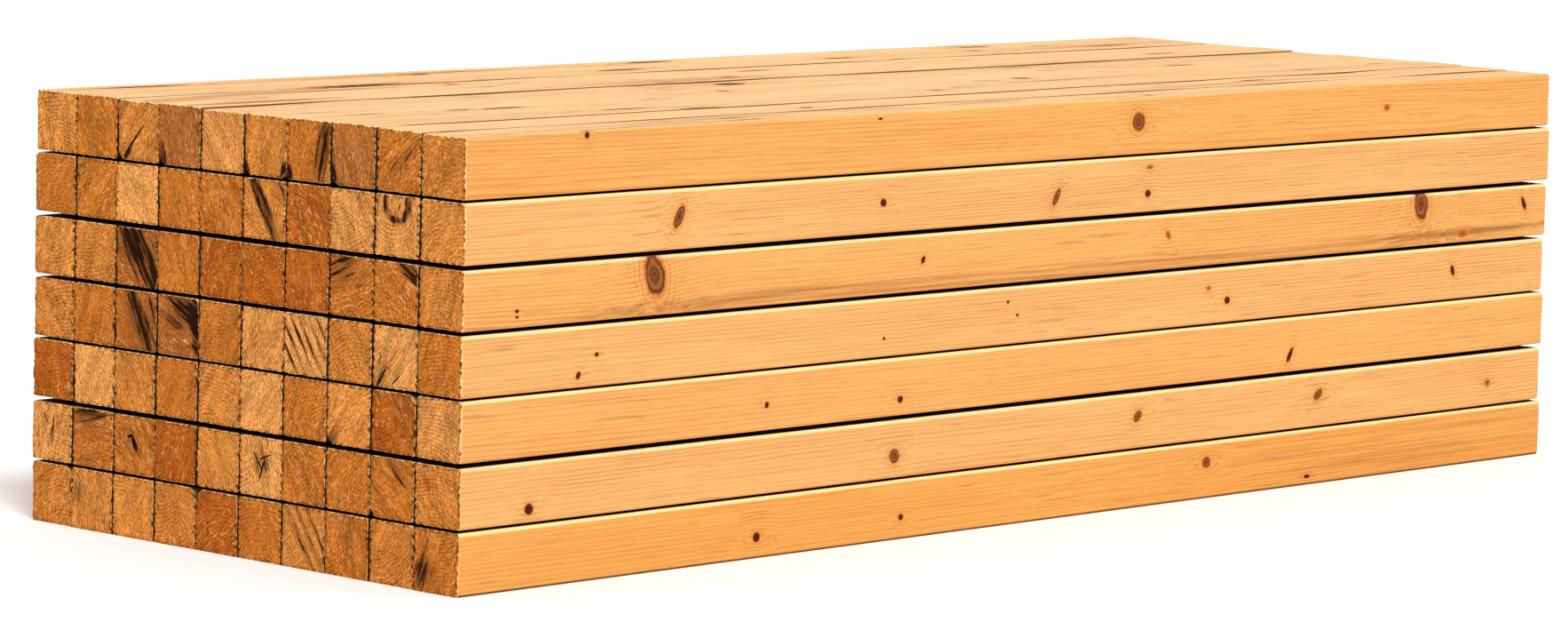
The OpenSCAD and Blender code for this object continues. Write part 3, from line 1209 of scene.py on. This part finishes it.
        return {
            (7, 10): [dark(22, -5, 60, 13, 100, 0.14)],
            (7, 9): [dark(-8, 10, 50, 10, -60, 0.22)],
            (7, 8): [crack(-10, -14, 62, 3.4, 48), dark(-26, -34, 22, 10, 50, 0.45)],
            (7, 7): [dark(-38, -30, 26, 12, 110, 0.9), dark(10, 10, 60, 30, 60, 0.16)],
            (7, 5): [dark(39, -38, 20, 7, 78, 1.6), dark(-39, -38, 18, 6, 102, 1.3)],
            (7, 4): [dark(27, -2, 56, 13, 76, 0.75), dark(-40, -36, 18, 7, 100, 1.5)],
            (7, 3): [dark(-40, -32, 24, 7, 100, 1.5)],
            (7, 2): [dark(16, 6, 50, 9, 48, 0.3), dark(-20, -20, 34, 8, 48, 0.26)],
            (6, 5): [dark(-2, 6, 75, 10, -58, 0.85), dark(30, 30, 26, 16, -50, 0.35)],
            (6, 2): [dark(-22, 34, 12, 6, 90, 0.8), dark(-17, 17, 12, 6, -50, 0.8),
                     dark(0, 9, 13, 6, 0, 0.9), dark(17, 17, 12, 6, 50, 0.8),
                     dark(22, 34, 12, 6, 90, 0.8), crack(4, 28, 12, 2.4, 70)],
            (5, 10): [dark(0, 4, 50, 6, 66, 0.22), dark(-22, 4, 50, 6, 66, 0.2)],
            (5, 8): [dark(8, 6, 60, 24, -58, 0.95), dark(-20, 22, 34, 22, -40, 0.55),
                     dark(36, -20, 34, 8, 100, 0.9)],
            (5, 3): [dark(-20, 26, 34, 20, 20, 0.62), dark(10, -10, 60, 9, 62, 0.25)],
            (5, 2): [dark(24, 30, 26, 13, -30, 0.7), crack(20, 26, 16, 2.4, -30)],
            (4, 8): [dark(6, 2, 60, 14, -66, 1.0), dark(34, 0, 46, 12, 90, 0.5)],
            (4, 7): [dark(18, 22, 40, 18, -28, 1.2), dark(-14, 6, 30, 8, -24, 0.7),
                     dark(38, 4, 40, 10, 92, 1.0)],
            (4, 6): [dark(30, 18, 30, 9, 76, 0.3)],
            (4, 4): [dark(-36, -10, 60, 3, -56, 0.6), dark(-22, -4, 60, 3.4, -56, 0.7),
                     dark(-6, 0, 60, 3, -56, 0.7), dark(10, 2, 60, 3.4, -56, 0.66),
                     dark(26, 8, 60, 3, -56, 0.7), dark(40, 14, 50, 4, -56, 0.6)],
            (4, 2): [crack(-24, -26, 34, 3, 60), dark(-28, -28, 24, 10, 60, 0.75),
                     crack(2, -30, 22, 2.4, 40), crack(-30, -4, 18, 2, 80)],
            (3, 3): [dark(-34, -36, 16, 10, 45, 0.7)],
            (3, 2): [dark(10, 20, 50, 10, -58, 0.2)],
            (2, 10): [crack(2, 2, 52, 3, 84), dark(0, 6, 34, 8, 70, 0.25), crack(-14, 20, 20, 2, 120)],
            (2, 9): [dark(-10, 34, 36, 12, 10, 0.85), dark(10, 10, 40, 14, 40, 0.22)],
            (2, 8): [crack(0, 2, 26, 8, -64), crack(-8, 12, 12, 5, 20), dark(-2, 4, 26, 18, -66, 0.4)],
            (2, 5): [crack(4, -2, 44, 3.4, 70), crack(-6, 8, 34, 3, 128), crack(10, 14, 26, 2.6, 20),
                     dark(2, 4, 20, 15, 0, 0.6)],
            (2, 4): [dark(10, -6, 60, 8, -56, 0.3)],
            (2, 2): [dark(10, 22, 26, 10, -40, 0.45), dark(-20, -20, 40, 8, -56, 0.25)],
            (1, 9): [dark(-30, 10, 22, 10, 90, 0.4)],
            (1, 1): [dark(-20, -18, 24, 20, 40, 0.62), dark(-26, 4, 30, 5, 70, 0.4)],
            (1, 4): [dark(-6, -4, 60, 6, -55, 0.6), dark(10, 4, 60, 5, -55, 0.55),
                     dark(26, 12, 60, 5, -55, 0.5)],
        }  # fmt: skip

    def scattered(self, layer: int, column: int) -> list[Mark | Stain]:
        """Give a stick's other bare faces knots and stains at seeded places.

        Args:
            layer: The stick's layer.
            column: The stick's column.

        Returns:
            The marks and stains.
        """
        chance = np.random.default_rng(7000 + 100 * layer + column)
        found: list[Mark | Stain] = []
        if column == self.plan.columns:
            face = Face.BACK
            for _ in range(int(chance.integers(3, 7))):
                kinds = (MarkKind.TIGHT_KNOT, MarkKind.TIGHT_KNOT, MarkKind.BROWN_KNOT)
                kind = kinds[chance.integers(0, 3)]
                size = chance.uniform(3, 9)
                along, up = chance.uniform(60, 2380), chance.uniform(-32, 32)
                found.append(
                    Mark(face, kind, along, up, size * chance.uniform(1, 1.5), size, chance.uniform(-60, 60))
                )
        if layer == self.plan.layers:
            for _ in range(3):
                place = chance.uniform(0, 2438), chance.uniform(-30, 30)
                radii = chance.uniform(150, 420), chance.uniform(8, 20)
                found.append(Stain(Face.TOP, *place, *radii, 0, chance.uniform(0.2, 0.45)))
        if chance.uniform() < 0.55:
            place = chance.uniform(-30, 30), chance.uniform(-30, 30)
            radii = chance.uniform(25, 60), chance.uniform(7, 20)
            lean, depth = chance.uniform(-90, 90), chance.uniform(0.3, 0.9)
            found.append(Stain(Face.FAR_END, *place, *radii, lean, depth))
        return found

    def sticks(self) -> list[Stick]:
        """List every stick, with its tone, marks and stains."""
        front, ends = self.front_marks(), self.end_marks()
        made = []
        for layer in range(1, self.plan.layers + 1):
            for column in range(1, self.plan.columns + 1):
                row = self.plan.layers - layer
                tone = EndTone.of(self.tones[row][self.plan.columns - column])
                found = ends.get((layer, column), []) + self.scattered(layer, column)
                if column == 1:
                    found = found + front[layer]
                if layer == self.plan.layers:
                    found = found + self.top_marks()[column]
                if (layer, column) == (1, 1):
                    found = found + [Stain(Face.FRONT, 2150, -6, 900, 60, 0, 0.27)]
                if (layer, column) == (5, 1):
                    found = found + [
                        Stain(Face.FRONT, 1400, -33, 1150, 21, 0, 0.38),
                        Stain(Face.FRONT, 2230, -22, 260, 7, 0, 0.55),
                        Stain(Face.FRONT, 420, -30, 420, 12, 0, 0.28),
                    ]
                made.append(
                    Stick(
                        self.plan, layer, column, tone, self.sides[row],
                        marks=[m for m in found if isinstance(m, Mark)],
                        stains=[s for s in found if isinstance(s, Stain)],
                        pith=(4 * MM, 40 * MM) if (layer, column) == (6, 2) else None,
                    )
                )  # fmt: skip
        return made

    def build(self) -> list[bpy.types.Object]:
        """Build all the sticks: the outer ones with many rings along them, the hidden ones with few."""
        finish = SawnSoftwood().make()
        close, plain = Grain(stations=150), Grain(stations=5)
        return [stick.build(close if stick.outer else plain, finish) for stick in self.sticks()]


# -------------------------------------------------------------------------------------- the studio


@dataclass(frozen=True)
class Studio:
    """A pale floor, soft light and a long lens set low at the stack's near corner."""

    camera_place: tuple[float, float, float] = (-6.909, -6.390, 1.323)
    heading: float = 46.76  # degrees from +Y towards +X
    dip: float = 6.40  # degrees below level
    roll: float = 1.5
    lens: float = 141.5
    floor_half: float = 60.0
    air: float = 0.7  # even light from above; towards the horizon it brightens to 1, as a white room does
    key: float = 2.0  # one soft far lamp, high over the near corner
    key_spread: float = 16.0
    key_from: tuple[float, float, float] = (-0.26, -0.5, 0.82)

    def floor(self) -> bpy.types.Object:
        """Lay a wide floor of smooth pale paint under the stack."""
        half = self.floor_half
        mesh = bpy.data.meshes.new("floor")
        corners = [(-half, -half, 0), (half, -half, 0), (half, half, 0), (-half, half, 0)]
        mesh.from_pydata(corners, [], [(0, 1, 2, 3)])
        floor = bpy.data.objects.new("floor", mesh)
        bpy.context.scene.collection.objects.link(floor)
        paint = bpy.data.materials.new("matt_white_floor_paint")
        paint.use_nodes = True
        shader = paint.node_tree.nodes["Principled BSDF"]
        shader.inputs["Base Color"].default_value = linear("#f8f8f8")
        shader.inputs["Roughness"].default_value = 0.95
        shader.inputs["Specular IOR Level"].default_value = 0.1
        mesh.materials.append(paint)
        return floor

    def camera(self) -> bpy.types.Object:
        """Set the camera at the near corner: its axes come from its heading, its dip and its roll."""
        h, e, r = (math.radians(v) for v in (self.heading, self.dip, self.roll))
        ahead = Vector((math.sin(h) * math.cos(e), math.cos(h) * math.cos(e), -math.sin(e)))
        right = Vector((math.cos(h), -math.sin(h), 0))
        up = right.cross(ahead)
        right, up = right * math.cos(r) + up * math.sin(r), up * math.cos(r) - right * math.sin(r)
        data = bpy.data.cameras.new("camera")
        data.lens, data.sensor_width, data.sensor_fit = self.lens, 36.0, "HORIZONTAL"
        data.clip_end = 500.0
        camera = bpy.data.objects.new("camera", data)
        axes = Matrix((right, up, -ahead)).transposed().to_4x4()
        camera.matrix_world = Matrix.Translation(self.camera_place) @ axes
        bpy.context.scene.collection.objects.link(camera)
        bpy.context.scene.camera = camera
        return camera

    def light(self) -> None:
        """Light the stack: even white all round, and a key lamp whose light grazes the sawn ends."""
        world = bpy.data.worlds.new("studio")
        world.use_nodes = True
        sky = world.node_tree.nodes["Background"]
        sky.inputs["Color"].default_value = (1, 1, 1, 1)
        way = add_node(world.node_tree, "TexCoord", out="Generated")
        up = add_node(world.node_tree, "SeparateXYZ", {0: way}, out="Z")
        glow = add_node(world.node_tree, "MapRange", {"Value": up, 1: 0.12, 2: 0.4, 3: 1.0, 4: self.air})
        world.node_tree.links.new(glow, sky.inputs["Strength"])
        scene = bpy.context.scene
        scene.world = world
        scene.view_settings.view_transform = "Standard"
        data = bpy.data.lights.new("key", "SUN")
        data.energy, data.angle = self.key, math.radians(self.key_spread)
        key = bpy.data.objects.new("key", data)
        key.matrix_world = Vector(self.key_from).to_track_quat("Z", "Y").to_matrix().to_4x4()
        scene.collection.objects.link(key)

    def build(self) -> None:
        """Build the floor, the camera and the light."""
        self.floor()
        self.camera()
        self.light()


def main() -> None:
    """Build the studio and the sticks in order."""
    logging.basicConfig(level=logging.INFO, format="%(name)s: %(message)s")
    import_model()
    Studio().build()
    faces = 0
    for stick in Stack().build():
        stick.data.calc_loop_triangles()
        faces += len(stick.data.loop_triangles)
        log.info("%s: %d triangles", stick.name, len(stick.data.loop_triangles))
    log.info("all sticks: %d triangles", faces)


if __name__ == "__main__":
    main()
